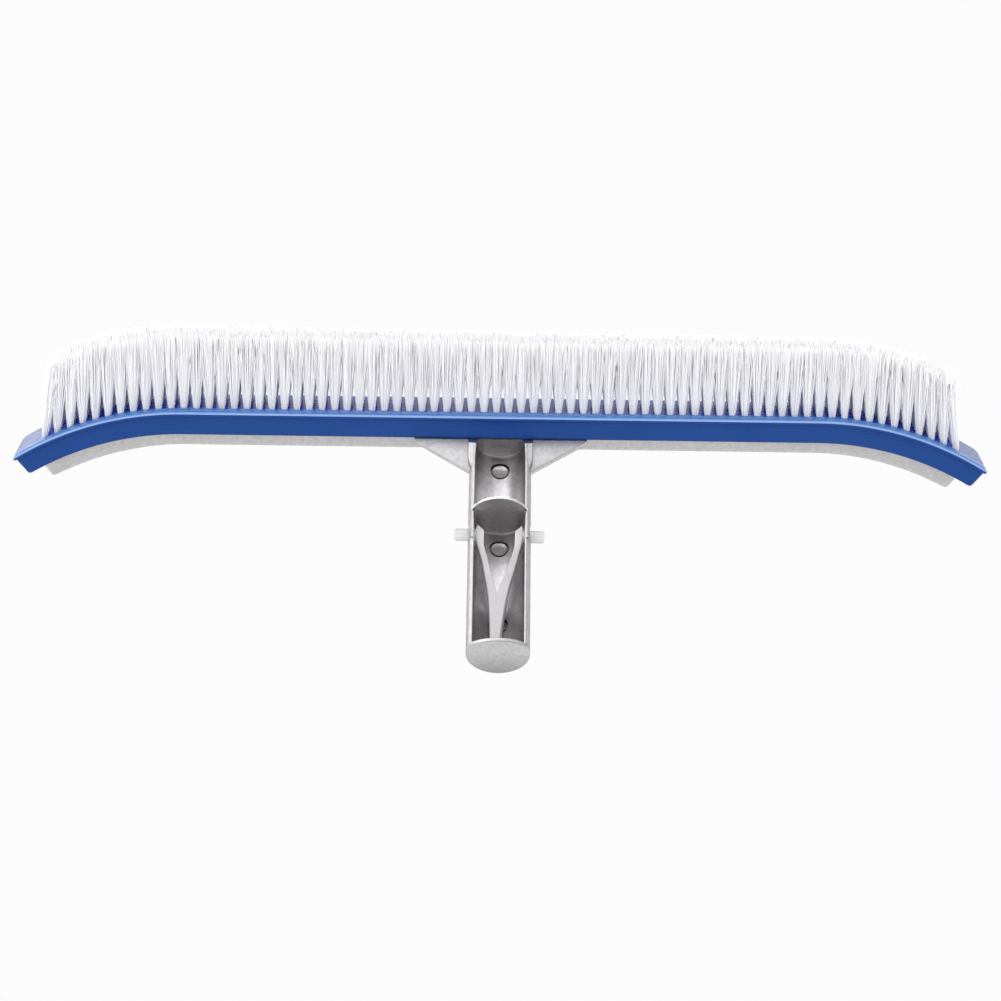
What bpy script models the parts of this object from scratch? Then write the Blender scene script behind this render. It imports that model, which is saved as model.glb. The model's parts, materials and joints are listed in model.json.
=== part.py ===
"""Pool wall brush, 18 in: a curved plastic head with nylon tufts, a cast aluminium
back with a half-open pole handle, and a sprung V clip with two push buttons.

Row frame: +X along the head, +Z the way the bristles point, -Y the way the handle
comes forward. The origin is the middle of the flat face at the handle's end.
Two empties carry the parts:
  head    at the middle of the block's underside, square to the row frame
  handle  at the origin, tilted so that its own +Y runs up the handle to the head
          and its own +Z looks out of the open side of the trough
Units are metres.
"""
import math

import bmesh
import bpy
from mathutils import Matrix, Vector

# ---- driving dimensions -------------------------------------------------------
HEAD_LENGTH = 0.4572            # 18 in over the lip
GAP = 0.0003                    # clearance between parts that touch
STEP = 0.00008                  # keeps two cut faces from lying in one plane
CUT_PAST = 0.002                # how far a cutter or a buried end reaches past the face it meets
TRIM = 0.00001                  # a plan cutter stands this far inside the sides it trims
MERGE = 0.000001                # points closer than this are one point

# the head is straight in the middle and bends down at both ends on one centre a side
STRAIGHT_HALF = 0.150
UNDERSIDE_RADIUS = 0.140
ARC_STEPS = 8

BLOCK_HEIGHT = 0.0113
LIP_THICKNESS = 0.0023
LIP_WIDTH = 0.040
WALL_WIDTH = 0.036
LIP_CORNER = 0.004
PLAN_REACH = (-0.060, 0.030)    # the plan cutters' depth, past the whole head
WALL_CORNER = 0.006
LIP_END_ANGLE = math.asin((HEAD_LENGTH / 2 - STRAIGHT_HALF) / (UNDERSIDE_RADIUS + BLOCK_HEIGHT))
WALL_END_ANGLE = LIP_END_ANGLE - math.radians(0.25)
WALL_FOOT_ANGLE = LIP_END_ANGLE - math.radians(1.0)

# bristles: a square grid of tufts, one comb-shaped solid a row
ROWS = 4
ROW_PITCH = 0.0068
COLUMNS = 74
TUFT_SPAN = 0.4299              # first tuft to last tuft
TUFT_DRIFT = 0.0008             # the middle holes stand this far to the right of an even spacing,
TUFT_SKEW = 0.0017              # and those left of the middle up to this much more
TUFT_DEPTH = 0.0026             # across the head
TUFT_ROOT_HALF = 0.0010
TUFT_ROOT_LENGTH = 0.0047
TUFT_HOLE = 0.0038
TUFT_HOLE_DEPTH = 0.0050
TUFT_MERGE_HEIGHT = 0.0145      # where a tuft's flare meets its neighbour's
BRISTLE_LEFT = 0.0352           # free length at the left end
BRISTLE_RIGHT = 0.0322          # free length at the right end

# aluminium bar under the block, let into a shallow recess
BAR_WIDTH = 0.033
BAR_BELOW = 0.0051
BAR_LET_IN = 0.0012
BAR_END_ANGLE = math.radians(28.0)
BAR_FOOT_ANGLE = math.radians(26.8)
RECESS_DEPTH = BAR_LET_IN + GAP
RECESS_WIDTH = BAR_WIDTH + 0.0008
RECESS_END_ANGLE = BAR_END_ANGLE + math.radians(0.2)

# screws that hold the bar to the block
SCREW_X = (-0.190, -0.120, -0.050, 0.050, 0.120, 0.190)
SCREW_SHANK_RADIUS = 0.0020
SCREW_HEAD_RADIUS = 0.0038
SCREW_HEAD_HEIGHT = 0.0024
SCREW_END = 0.0056              # tip of the screw above the block's underside
SCREW_POINT = 0.0012            # length of its taper
SCREW_SIDES = 12

# handle: a half-open tube with two cross walls
HANDLE_TILT = math.radians(36.7)
HANDLE_LENGTH = 0.1223          # end face to the upper cross wall
ROOT_FORWARD = 0.0166           # upper cross wall's axis point, from the head's middle
ROOT_BELOW = 0.0024
HANDLE_RADIUS = 0.0145
TROUGH_RADIUS = 0.0116
TROUGH_WALL_HEIGHT = 0.0064     # walls stand this far above the axis
TROUGH_CUT_HEIGHT = 0.020       # the trough's cutter stands clear of the end wall's crown
HANDLE_INTO_BAR = 0.022
END_WALL = 0.0020
END_CROWN_RADIUS = 0.023
END_CROWN_HEIGHT = 0.0103
END_CROWN_HALF = 0.0126
MID_WALL_FACE = 0.0773          # lower face of the middle cross wall, from the end
MID_WALL = 0.0013
MID_WALL_RADIUS = 0.0142
GUSSET_OUT = 0.0405
GUSSET_DOWN = 0.0200
GUSSET_INTO_BAR = 0.006
GUSSET_THICKNESS = 0.0025
ABOVE_BAR_SIZE = (0.2, 0.3, 0.1)    # the cutter that keeps the handle's top below the block

# V clip, in the handle's own frame (x across, y up the handle)
CLIP_LEAN = math.radians(-1.4)
BUTTON_Y = 0.0673
BUTTON_RADIUS = 0.0029
BUTTON_REACH = 0.0208           # button face from the axis
BUTTON_CHAMFER = 0.0007
BUTTON_ROOT = 0.0012            # the button starts this far out from the arm's inner side
CLIP_TOP = 0.0030               # clip's edges above and below the axis plane
CLIP_BOTTOM = -0.0031
STEM_BOTTOM = -0.0100
PIVOT_X = 0.00205
PIVOT_Y = 0.0345
KNUCKLE_RADIUS = 0.0017
KNUCKLE_TURN = (math.radians(365), math.radians(190))
SHOULDER = (0.0002, 0.0010)     # where the arm's inner side leaves the knuckle
STEM_FOOT_HALF = 0.0021
STEM_MIDDLE_HALF = 0.0026
STEM_TOP_HALF = 0.0038
STEM_MIDDLE_Y = 0.0190
SLOT_LOW = 0.0630
SLOT_HIGH = 0.0745
SLOT_HALF_HEIGHT = 0.0034
# right arm's outline above its knuckle, inner side going up, then outer side coming down
ARM_INNER = [(0.00275, 0.0410), (0.00596, 0.0536), (0.00720, 0.0599), (0.00720, 0.0683)]
ARM_OUTER = [(0.0100, 0.0714), (0.0107, 0.0700), (0.0107, 0.0645), (0.0096, 0.0606),
             (0.0083, 0.0536), (0.0060, 0.0415)]

# ---- worked out from the above ---------------------------------------------------
HEAD_ORIGIN = Vector((0.0,
                      HANDLE_LENGTH * math.cos(HANDLE_TILT) + ROOT_FORWARD,
                      HANDLE_LENGTH * math.sin(HANDLE_TILT) + ROOT_BELOW))
UPRIGHT = Matrix.Rotation(math.pi / 2, 4, "X")      # outline's y turned to +Z


def clear_scene():
    for old in list(bpy.data.objects):
        bpy.data.objects.remove(old, do_unlink=True)
    for old in list(bpy.data.collections):
        bpy.data.collections.remove(old)


def new_collection(name):
    group = bpy.data.collections.new(name)
    bpy.context.scene.collection.children.link(group)
    return group


def empty(name, location, rotation, group, parent=None):
    marker = bpy.data.objects.new(name, None)
    marker.location = location
    marker.rotation_euler = rotation
    marker.parent = parent
    group.objects.link(marker)
    return marker


def material(name, color, roughness, metallic=0.0):
    mat = bpy.data.materials.new(name)
    mat.use_nodes = True
    shader = mat.node_tree.nodes["Principled BSDF"]
    shader.inputs["Base Color"].default_value = (*color, 1.0)
    shader.inputs["Roughness"].default_value = roughness
    shader.inputs["Metallic"].default_value = metallic
    return mat


def place(name, mesh, group, parent, mat=None):
    """An object of the mesh, under its empty. Without a material it is a hidden cutter."""
    solid = bpy.data.objects.new(name, mesh)
    solid.parent = parent
    group.objects.link(solid)
    if mat is None:
        solid.hide_render = True
        solid.display_type = "WIRE"
    else:
        mesh.materials.append(mat)
    return solid


def prism(outline, low, high, turn=Matrix.Identity(4)):
    """A flat outline swept from low to high along its own +Z, then turned."""
    curve = bpy.data.curves.new("outline", "CURVE")
    curve.dimensions = "2D"
    curve.fill_mode = "BOTH"
    curve.extrude = (high - low) / 2
    spline = curve.splines.new("POLY")
    spline.points.add(len(outline) - 1)
    for point, (x, y) in zip(spline.points, outline):
        point.co = (x, y, 0.0, 1.0)
    spline.use_cyclic_u = True
    holder = bpy.data.objects.new("outline", curve)
    bpy.context.scene.collection.objects.link(holder)
    graph = bpy.context.evaluated_depsgraph_get()
    mesh = bpy.data.meshes.new_from_object(holder.evaluated_get(graph))
    bpy.data.objects.remove(holder, do_unlink=True)
    form = bmesh.new()
    form.from_mesh(mesh)
    bmesh.ops.remove_doubles(form, verts=form.verts, dist=MERGE)
    bmesh.ops.transform(form, verts=form.verts,
                        matrix=turn @ Matrix.Translation((0, 0, (low + high) / 2)))
    bmesh.ops.recalc_face_normals(form, faces=form.faces)
    form.to_mesh(mesh)
    form.free()
    return mesh


def boxes(places):
    """One mesh of separate boxes, each given as its centre and its size."""
    form = bmesh.new()
    for centre, size in places:
        fit = Matrix.Translation(centre) @ Matrix.Diagonal((*size, 1.0))
        bmesh.ops.create_cube(form, size=1.0, matrix=fit)
    mesh = bpy.data.meshes.new("boxes")
    form.to_mesh(mesh)
    form.free()
    return mesh


def change(solid, tool, operation):
    step = solid.modifiers.new(operation.lower(), "BOOLEAN")
    step.operation = operation
    step.object = tool
    step.solver = "EXACT"


def smooth(solid, degrees=35.0):
    solid.data.shade_smooth()
    solid.data.set_sharp_from_angle(angle=math.radians(degrees))


# ---- the bent line of the head -----------------------------------------------------
def on_bend(height, angle):
    """Side view (x, z) on the right end's arc, at a height above the underside."""
    radius = UNDERSIDE_RADIUS + height
    return (STRAIGHT_HALF + radius * math.sin(angle),
            radius * math.cos(angle) - UNDERSIDE_RADIUS)


def line_height(x, height):
    """Z of the line that runs a constant height above the underside."""
    beyond = max(0.0, abs(x) - STRAIGHT_HALF)
    radius = UNDERSIDE_RADIUS + height
    return math.sqrt(radius * radius - beyond * beyond) - UNDERSIDE_RADIUS


def bent_bar(low, high, foot_angle, end_angle):
    """Side outline of a bar that follows the head between two heights."""
    lower = [on_bend(low, foot_angle * i / ARC_STEPS) for i in range(ARC_STEPS + 1)]
    upper = [on_bend(high, end_angle * i / ARC_STEPS) for i in range(ARC_STEPS, -1, -1)]
    right = lower + upper
    left = [(-x, z) for x, z in reversed(right)]
    return right + left


def rounded_plan(half_length, half_width, corner, steps=4):
    points = []
    for turn, (sx, sy) in enumerate(((1, 1), (-1, 1), (-1, -1), (1, -1))):
        for i in range(steps + 1):
            angle = math.pi / 2 * (turn + i / steps)
            points.append((sx * (half_length - corner) + corner * math.cos(angle),
                           sy * (half_width - corner) + corner * math.sin(angle)))
    return points


def arc(centre, radius, start, end, steps):
    return [(centre[0] + radius * math.cos(start + (end - start) * i / steps),
             centre[1] + radius * math.sin(start + (end - start) * i / steps))
            for i in range(steps + 1)]


# ---- brush head --------------------------------------------------------------------
def column_x(column):
    """Place of a tuft along the head: an even spacing with a slight drift of the holes."""
    along = 2 * column / (COLUMNS - 1) - 1
    return along * TUFT_SPAN / 2 + (1 - along * along) * (TUFT_DRIFT - TUFT_SKEW * along)


def row_y(row):
    return (row - (ROWS - 1) / 2) * ROW_PITCH


def bristle_length(x):
    """Free length: the tips are trimmed a little lower towards the right end."""
    return (BRISTLE_LEFT + BRISTLE_RIGHT) / 2 + (BRISTLE_RIGHT - BRISTLE_LEFT) * x / HEAD_LENGTH


def brush_block(parts, cutters, head, mat):
    """Lip and wall, with plan corners, a recess below and a blind hole for each tuft."""
    lip_low = BLOCK_HEIGHT - LIP_THICKNESS
    wall = place("block_wall", prism(
        bent_bar(0.0, BLOCK_HEIGHT - LIP_THICKNESS / 2, WALL_FOOT_ANGLE, WALL_END_ANGLE),
        -WALL_WIDTH / 2, WALL_WIDTH / 2, UPRIGHT), cutters, head)
    wall_plan = place("wall_plan", prism(
        rounded_plan(HEAD_LENGTH / 2, WALL_WIDTH / 2 - TRIM, WALL_CORNER),
        *PLAN_REACH), cutters, head)
    change(wall, wall_plan, "INTERSECT")

    block = place("brush_block", prism(
        bent_bar(lip_low, BLOCK_HEIGHT, LIP_END_ANGLE, LIP_END_ANGLE),
        -LIP_WIDTH / 2, LIP_WIDTH / 2, UPRIGHT), parts, head, mat)
    lip_plan = place("lip_plan", prism(
        rounded_plan(HEAD_LENGTH / 2 - TRIM, LIP_WIDTH / 2 - TRIM, LIP_CORNER),
        *PLAN_REACH), cutters, head)
    change(block, lip_plan, "INTERSECT")
    change(block, wall, "UNION")

    recess = place("bar_recess", prism(
        bent_bar(-CUT_PAST, RECESS_DEPTH, RECESS_END_ANGLE, RECESS_END_ANGLE),
        -RECESS_WIDTH / 2, RECESS_WIDTH / 2, UPRIGHT), cutters, head)
    change(block, recess, "DIFFERENCE")

    holes = []
    for column in range(COLUMNS):
        x = column_x(column)
        surface = line_height(x, BLOCK_HEIGHT)
        low, high = surface - TUFT_HOLE_DEPTH, surface + TUFT_HOLE
        holes += [((x, row_y(row), (low + high) / 2), (TUFT_HOLE, TUFT_HOLE, high - low))
                  for row in range(ROWS)]
    change(block, place("tuft_holes", boxes(holes), cutters, head), "DIFFERENCE")
    change(block, place("pilot_holes", screw_rods(SCREW_SHANK_RADIUS + GAP, -CUT_PAST,
                                                  SCREW_END + GAP), cutters, head), "DIFFERENCE")
    return block


def bristle_row(row, parts, head, mat):
    """One row of tufts: roots in the block's holes, flaring until they meet."""
    below = []
    for column in range(COLUMNS):
        x = column_x(column)
        surface = line_height(x, BLOCK_HEIGHT)
        root = surface - TUFT_ROOT_LENGTH
        below.append((x - TUFT_ROOT_HALF, root))
        below.append((x + TUFT_ROOT_HALF, root))
        if column < COLUMNS - 1:
            between = (x + column_x(column + 1)) / 2
            below.append((between, line_height(between, BLOCK_HEIGHT) + TUFT_MERGE_HEIGHT))
    edge = TUFT_SPAN / 2 * COLUMNS / (COLUMNS - 1)      # half a pitch past the last tuft
    tips = [edge] + [on_bend(BLOCK_HEIGHT, LIP_END_ANGLE * i / 6)[0] for i in range(5, -1, -1)]
    tips += [-x for x in reversed(tips)]
    above = [(x, line_height(x, BLOCK_HEIGHT) + bristle_length(x)) for x in tips]
    y = -row_y(row)             # the turned outline's own +Z runs along -Y
    mesh = prism(below + above, y - TUFT_DEPTH / 2, y + TUFT_DEPTH / 2, UPRIGHT)
    return place("bristle_row_%d" % (row + 1), mesh, parts, head, mat)


# ---- screws ------------------------------------------------------------------------
def screw_frame(x):
    """Square to the bar at a place along the head, on the underside's line."""
    bend = math.asin(max(0.0, abs(x) - STRAIGHT_HALF) / UNDERSIDE_RADIUS) * (1 if x > 0 else -1)
    return Matrix.Translation((x, 0.0, line_height(x, 0.0))) @ Matrix.Rotation(bend, 4, "Y")


def rod(form, radius, low, high, frame):
    fit = frame @ Matrix.Translation((0, 0, (low + high) / 2))
    bmesh.ops.create_cone(form, cap_ends=True, segments=SCREW_SIDES, radius1=radius,
                          radius2=radius, depth=high - low, matrix=fit)


def screw_rods(radius, low, high):
    form = bmesh.new()
    for x in SCREW_X:
        rod(form, radius, low, high, screw_frame(x))
    mesh = bpy.data.meshes.new("rods")
    form.to_mesh(mesh)
    form.free()
    return mesh


def screw(number, x, parts, head, mat):
    """Pan-head screw: a turned profile, run down its outer side."""
    under = -BAR_BELOW - GAP
    top = under - SCREW_HEAD_HEIGHT
    profile = [(0.0, SCREW_END), (SCREW_SHANK_RADIUS * 0.5, SCREW_END),
               (SCREW_SHANK_RADIUS, SCREW_END - SCREW_POINT), (SCREW_SHANK_RADIUS, under),
               (SCREW_HEAD_RADIUS, under), (SCREW_HEAD_RADIUS, under - SCREW_HEAD_HEIGHT * 0.45),
               (SCREW_HEAD_RADIUS * 0.6, top), (0.0, top)]
    mesh = bpy.data.meshes.new("screw_%d" % number)
    mesh.from_pydata([(r, 0.0, z) for r, z in profile],
                     [(i, i + 1) for i in range(len(profile) - 1)], [])
    solid = place("screw_%d" % number, mesh, parts, head, mat)
    frame = screw_frame(x)
    solid.location = frame.to_translation()
    solid.rotation_euler = frame.to_euler()
    turn = solid.modifiers.new("turn", "SCREW")
    turn.steps = SCREW_SIDES
    turn.render_steps = SCREW_SIDES
    turn.use_merge_vertices = True
    turn.merge_threshold = MERGE
    return solid


# ---- aluminium casting -------------------------------------------------------------
def handle_section():
    """Outside of the handle: round below, cut flat across the top of its walls."""
    rise = math.asin(TROUGH_WALL_HEIGHT / HANDLE_RADIUS)
    return arc((0, 0), HANDLE_RADIUS, rise, -math.pi - rise, 24)


def trough_section():
    """Inside of the trough, open upwards past the cross walls."""
    return ([(TROUGH_RADIUS, TROUGH_CUT_HEIGHT)] + arc((0, 0), TROUGH_RADIUS, 0.0, -math.pi, 16)
            + [(-TROUGH_RADIUS, TROUGH_CUT_HEIGHT)])


def end_crown():
    """Top of the end wall, a shallow crown above the trough's walls."""
    centre = (0.0, END_CROWN_HEIGHT - END_CROWN_RADIUS)
    half = math.asin(END_CROWN_HALF / END_CROWN_RADIUS)
    foot = TROUGH_WALL_HEIGHT - CUT_PAST
    return ([(END_CROWN_HALF, foot)]
            + arc(centre, END_CROWN_RADIUS, math.pi / 2 - half, math.pi / 2 + half, 12)
            + [(-END_CROWN_HALF, foot)])


def along_handle(outline, low, high):
    """A section in the handle's x and z, swept up the handle from low to high."""
    return prism(outline, -high, -low, UPRIGHT)


def back_casting(parts, cutters, head, handle, mat):
    """Bar, handle, gussets and cross walls in one piece."""
    grip = place("handle_core", along_handle(
        handle_section(), 0.0, HANDLE_LENGTH + HANDLE_INTO_BAR), cutters, handle)
    change(grip, place("end_crown", along_handle(end_crown(), GAP, END_WALL),
                       cutters, handle), "UNION")
    mid_disc = arc((0, 0), MID_WALL_RADIUS, 0.0, 2 * math.pi, 28)[:-1]
    change(grip, place("mid_disc", along_handle(
        mid_disc, MID_WALL_FACE, MID_WALL_FACE + MID_WALL), cutters, handle), "UNION")
    inside = HANDLE_RADIUS - CUT_PAST
    buried = HANDLE_LENGTH + GUSSET_INTO_BAR
    for side in (1, -1):
        plate = [(side * GUSSET_OUT, HANDLE_LENGTH), (side * GUSSET_OUT, buried),
                 (side * inside, buried), (side * inside, HANDLE_LENGTH - GUSSET_DOWN)]
        change(grip, place("gusset", prism(plate, 0.0, GUSSET_THICKNESS), cutters, handle), "UNION")
    above_middle = (0.0, 0.0, ABOVE_BAR_SIZE[2] / 2 - GAP)
    above_bar = place("above_bar", boxes([(above_middle, ABOVE_BAR_SIZE)]), cutters, head)
    change(grip, above_bar, "DIFFERENCE")

    casting = place("back_casting", prism(
        bent_bar(-BAR_BELOW, BAR_LET_IN, BAR_FOOT_ANGLE, BAR_END_ANGLE),
        -BAR_WIDTH / 2, BAR_WIDTH / 2, UPRIGHT), parts, head, mat)
    change(casting, grip, "UNION")
    chambers = ((END_WALL - STEP, MID_WALL_FACE + STEP),
                (MID_WALL_FACE + MID_WALL - STEP, HANDLE_LENGTH))
    for low, high in chambers:
        change(casting, place("chamber", along_handle(trough_section(), low, high),
                              cutters, handle), "DIFFERENCE")
    slot_middle = (SLOT_LOW + SLOT_HIGH) / 2
    slot_size = (HANDLE_RADIUS - TROUGH_RADIUS + 2 * CUT_PAST, SLOT_HIGH - SLOT_LOW,
                 2 * SLOT_HALF_HEIGHT)
    slots = [((side * (HANDLE_RADIUS + TROUGH_RADIUS) / 2, slot_middle, 0.0), slot_size)
             for side in (1, -1)]
    change(casting, place("button_slots", boxes(slots), cutters, handle), "DIFFERENCE")
    holes = screw_rods(SCREW_SHANK_RADIUS + GAP, -BAR_BELOW - CUT_PAST, BAR_LET_IN + CUT_PAST)
    change(casting, place("screw_holes", holes, cutters, head), "DIFFERENCE")
    return casting


# ---- V clip ------------------------------------------------------------------------
def clip_stem(parts, clip, mat):
    """Foot of the clip, standing on the trough's floor against the end wall."""
    top = PIVOT_Y - KNUCKLE_RADIUS - GAP
    right = [(STEM_FOOT_HALF, END_WALL + 2 * GAP), (STEM_MIDDLE_HALF, STEM_MIDDLE_Y),
             (STEM_TOP_HALF, top)]
    left = [(-x, y) for x, y in reversed(right)]
    outline = [(x, y - BUTTON_Y) for x, y in right + left]
    return place("clip_stem", prism(outline, STEM_BOTTOM, CLIP_TOP), parts, clip, mat)


def button(side):
    """A round pin out through the wall, centred on the pivot empty's frame."""
    root = ARM_INNER[-1][0] + BUTTON_ROOT
    depth = BUTTON_REACH - BUTTON_CHAMFER - root
    middle = root + depth / 2 - PIVOT_X
    form = bmesh.new()
    bmesh.ops.create_cone(
        form, cap_ends=True, segments=20, radius1=BUTTON_RADIUS, radius2=BUTTON_RADIUS, depth=depth,
        matrix=Matrix.Translation((side * middle, BUTTON_Y - PIVOT_Y, 0))
        @ Matrix.Rotation(side * math.pi / 2, 4, "Y"))
    face = max(form.faces, key=lambda f: side * f.calc_center_median().x)
    bmesh.ops.inset_region(form, faces=[face], thickness=BUTTON_CHAMFER, depth=BUTTON_CHAMFER)
    mesh = bpy.data.meshes.new("button")
    form.to_mesh(mesh)
    form.free()
    return mesh


def clip_arm(name, side, parts, cutters, pivot, mat):
    """One arm with its button. The pivot empty is on the arm's bending axis."""
    knuckle = arc((PIVOT_X, PIVOT_Y), KNUCKLE_RADIUS, *KNUCKLE_TURN, 10)
    shoulder = (PIVOT_X - KNUCKLE_RADIUS + SHOULDER[0], PIVOT_Y + SHOULDER[1])
    right = knuckle + [shoulder] + ARM_INNER + ARM_OUTER
    outline = [(side * (x - PIVOT_X), y - PIVOT_Y) for x, y in right]
    arm = place(name, prism(outline, CLIP_BOTTOM, CLIP_TOP), parts, pivot, mat)
    change(arm, place(name + "_button", button(side), cutters, pivot), "UNION")
    return arm


def build():
    clear_scene()
    parts = new_collection("pool_wall_brush")
    cutters = new_collection("cutters")
    blue = material("blue_plastic", (0.035, 0.100, 0.330), 0.42)
    nylon = material("white_nylon", (0.86, 0.86, 0.88), 0.55)
    alloy = material("cast_aluminium", (0.62, 0.62, 0.61), 0.42, 1.0)
    white = material("white_clip_plastic", (0.80, 0.80, 0.80), 0.45)
    steel = material("screw_steel", (0.55, 0.56, 0.58), 0.30, 1.0)

    head = empty("head", HEAD_ORIGIN, (0, 0, 0), parts)
    handle = empty("handle", (0, 0, 0), (HANDLE_TILT, 0, 0), parts)
    clip = empty("clip", (0, BUTTON_Y, 0), (0, 0, CLIP_LEAN), parts, handle)

    brush_block(parts, cutters, head, blue)
    for row in range(ROWS):
        bristle_row(row, parts, head, nylon)
    casting = back_casting(parts, cutters, head, handle, alloy)
    smooth(casting)
    for number, x in enumerate(SCREW_X, start=1):
        screw(number, x, parts, head, steel)
    clip_stem(parts, clip, white)
    for name, side in (("clip_arm_left", -1), ("clip_arm_right", 1)):
        pivot = empty(name + "_pivot", (side * PIVOT_X, PIVOT_Y - BUTTON_Y, 0), (0, 0, 0),
                      parts, clip)
        clip_arm(name, side, parts, cutters, pivot, white)


build()
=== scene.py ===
"""Looks of the pool wall brush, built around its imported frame.

The moulded block, the cast back, the clip and the screws are replaced by finer pieces of
about the same size, and each comb-shaped row of bristles by its filaments. Metres, row frame:
+X along the head, +Z the way the bristles point, -Y towards the handle's end.
"""
import json
import math

import bmesh
import bpy
import numpy as np
from mathutils import Matrix, Vector


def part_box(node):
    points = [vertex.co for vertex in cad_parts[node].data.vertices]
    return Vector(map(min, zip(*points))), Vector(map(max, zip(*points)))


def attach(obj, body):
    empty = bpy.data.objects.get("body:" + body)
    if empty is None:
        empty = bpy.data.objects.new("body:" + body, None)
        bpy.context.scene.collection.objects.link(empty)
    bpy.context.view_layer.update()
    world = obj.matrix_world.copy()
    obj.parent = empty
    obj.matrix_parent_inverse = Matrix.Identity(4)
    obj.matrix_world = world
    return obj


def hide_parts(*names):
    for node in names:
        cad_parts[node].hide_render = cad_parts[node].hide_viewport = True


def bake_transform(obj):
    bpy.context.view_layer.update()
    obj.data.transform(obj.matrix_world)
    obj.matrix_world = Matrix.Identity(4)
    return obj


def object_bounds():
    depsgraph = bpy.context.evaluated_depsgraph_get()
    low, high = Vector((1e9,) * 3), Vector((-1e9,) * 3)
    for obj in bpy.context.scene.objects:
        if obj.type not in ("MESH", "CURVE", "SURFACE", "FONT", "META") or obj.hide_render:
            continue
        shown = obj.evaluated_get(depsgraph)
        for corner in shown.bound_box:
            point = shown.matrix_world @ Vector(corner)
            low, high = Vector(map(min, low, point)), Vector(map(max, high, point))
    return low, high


MM = 0.001
WELD = 2e-6                         # points closer than this are one
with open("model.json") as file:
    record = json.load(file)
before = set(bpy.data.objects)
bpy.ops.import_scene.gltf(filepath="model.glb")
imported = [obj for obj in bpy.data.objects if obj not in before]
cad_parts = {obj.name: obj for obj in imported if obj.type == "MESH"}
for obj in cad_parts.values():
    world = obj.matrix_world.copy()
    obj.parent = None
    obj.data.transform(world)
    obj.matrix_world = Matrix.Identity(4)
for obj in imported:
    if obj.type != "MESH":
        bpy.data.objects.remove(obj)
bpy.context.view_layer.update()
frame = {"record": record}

# ---- places and sizes, from the frame and a few driving dimensions ----
MOUNT_AXIS = Vector(frame["record"]["mounts"][0]["axis"])       # out of the handle's end
TILT = math.atan2(-MOUNT_AXIS.z, -MOUNT_AXIS.y)
BLOCK_LOW, BLOCK_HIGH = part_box("brush_block")
BLOCK_HEIGHT = 11.3 * MM
HEAD = Vector((0.0, (BLOCK_LOW.y + BLOCK_HIGH.y) / 2, BLOCK_HIGH.z - BLOCK_HEIGHT))
HEAD_FRAME = Matrix.Translation(HEAD)
HANDLE_FRAME = Matrix.Rotation(TILT, 4, "X")

END_REACH = 1.2 * MM                # the lip's ends stand this far past the frame's box
HALF_LENGTH = BLOCK_HIGH.x + END_REACH
HALF_WIDTH = (BLOCK_HIGH.y - BLOCK_LOW.y) / 2
STRAIGHT_HALF = 149 * MM            # the head is straight to here, then bends down
BEND_RADIUS = 140 * MM              # of its underside
TOP_RADIUS = BEND_RADIUS + BLOCK_HEIGHT
PLAN_HALF = STRAIGHT_HALF + TOP_RADIUS * math.asin((HALF_LENGTH - STRAIGHT_HALF) / TOP_RADIUS)

ROWS = 4
ROW_PITCH = 6.8 * MM
COLUMNS = 74
TUFT_SPAN = 429.9 * MM              # first tuft to last tuft
TUFT_DRIFT = 0.8 * MM               # the middle holes stand this far right of an even spacing,
TUFT_SKEW = 1.7 * MM                # and those left of the middle up to this much more
HOLE_RADIUS = 1.65 * MM
HOLE_DEPTH = 4.0 * MM
ROOT_DEPTH = 1.6 * MM               # the filaments start this far down their hole
BRISTLE_LEFT = 35.2 * MM
BRISTLE_RIGHT = 32.2 * MM

FILAMENTS = 55                      # in a tuft
FILAMENT_RADIUS = 0.18 * MM
FILAMENT_SIDES = 5
FILAMENT_RINGS = 5
TUFT_RADIUS = 1.22 * MM             # centres of the filaments, at the hole
FLARE = 3.6 * MM                    # a tuft widens by up to this, a side
FLARE_HEIGHT = 20 * MM
TIP_JITTER = 0.14 * MM
TIP_CLEARANCE = 0.2 * MM            # the mean tip stays this far under the trimmed length
TIP_TAPER = 0.72                    # of a filament's radius
TUFT_LEAN, FILAMENT_LEAN = 0.010, 0.009         # spread of the sideways slopes
CURL = 0.3                          # spread of the curvature, 1/m
END_TUFT_SPREAD = 0.45              # of the flare, on the outer side of the end tufts

BAR_HALF_WIDTH = 16.5 * MM
BAR_BELOW = 5.1 * MM
BAR_THICKER = 1.3 * MM              # towards its ends
BAR_THICKER_BY = math.radians(24.0)             # round the bend, where it is fully thicker
BAR_LET_IN = 1.2 * MM
BAR_END = math.radians(28.0)        # round the bend
BAR_PLAN_HALF = STRAIGHT_HALF + TOP_RADIUS * BAR_END

HANDLE_LENGTH = 122.3 * MM
HANDLE_RADIUS = 14.5 * MM
HANDLE_PAST = 22 * MM               # its core runs on this far, up into the bar
TROUGH_RADIUS = 11.6 * MM
TROUGH_HEAD = HANDLE_LENGTH + 0.6 * MM          # where the trough ends
WALL_TOP = 6.4 * MM                 # of the trough's walls, above the handle's axis
WALL_EDGE = 12.75 * MM              # half the width over their flat tops
WALL_CORNER = 0.55 * MM
PAD_TOP = 6.9 * MM                  # they stand a little higher over the button slots
PAD_LOW, PAD_HIGH = 61.5 * MM, 77.0 * MM
SLOT_LOW, SLOT_HIGH = 63.0 * MM, 74.5 * MM
SLOT_HALF = 3.4 * MM
SLOT_CORNER = 1.2 * MM
GAP = 0.3 * MM                      # the handle's top stays this far under the block
END_WALL = 2.0 * MM
CROWN_TOP = 10.3 * MM               # its top edge is an arc
CROWN_RADIUS = 23 * MM
CROWN_HALF = 12.9 * MM
MID_WALL_LOW, MID_WALL_HIGH = 77.3 * MM, 78.6 * MM
MID_WALL_RADIUS = 14.1 * MM
MID_WALL_CENTRE = 1.1 * MM          # above the axis
BUTTON_UP = 67.3 * MM
BUTTON_ROOT = 8.4 * MM              # where the button starts, from the axis
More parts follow.
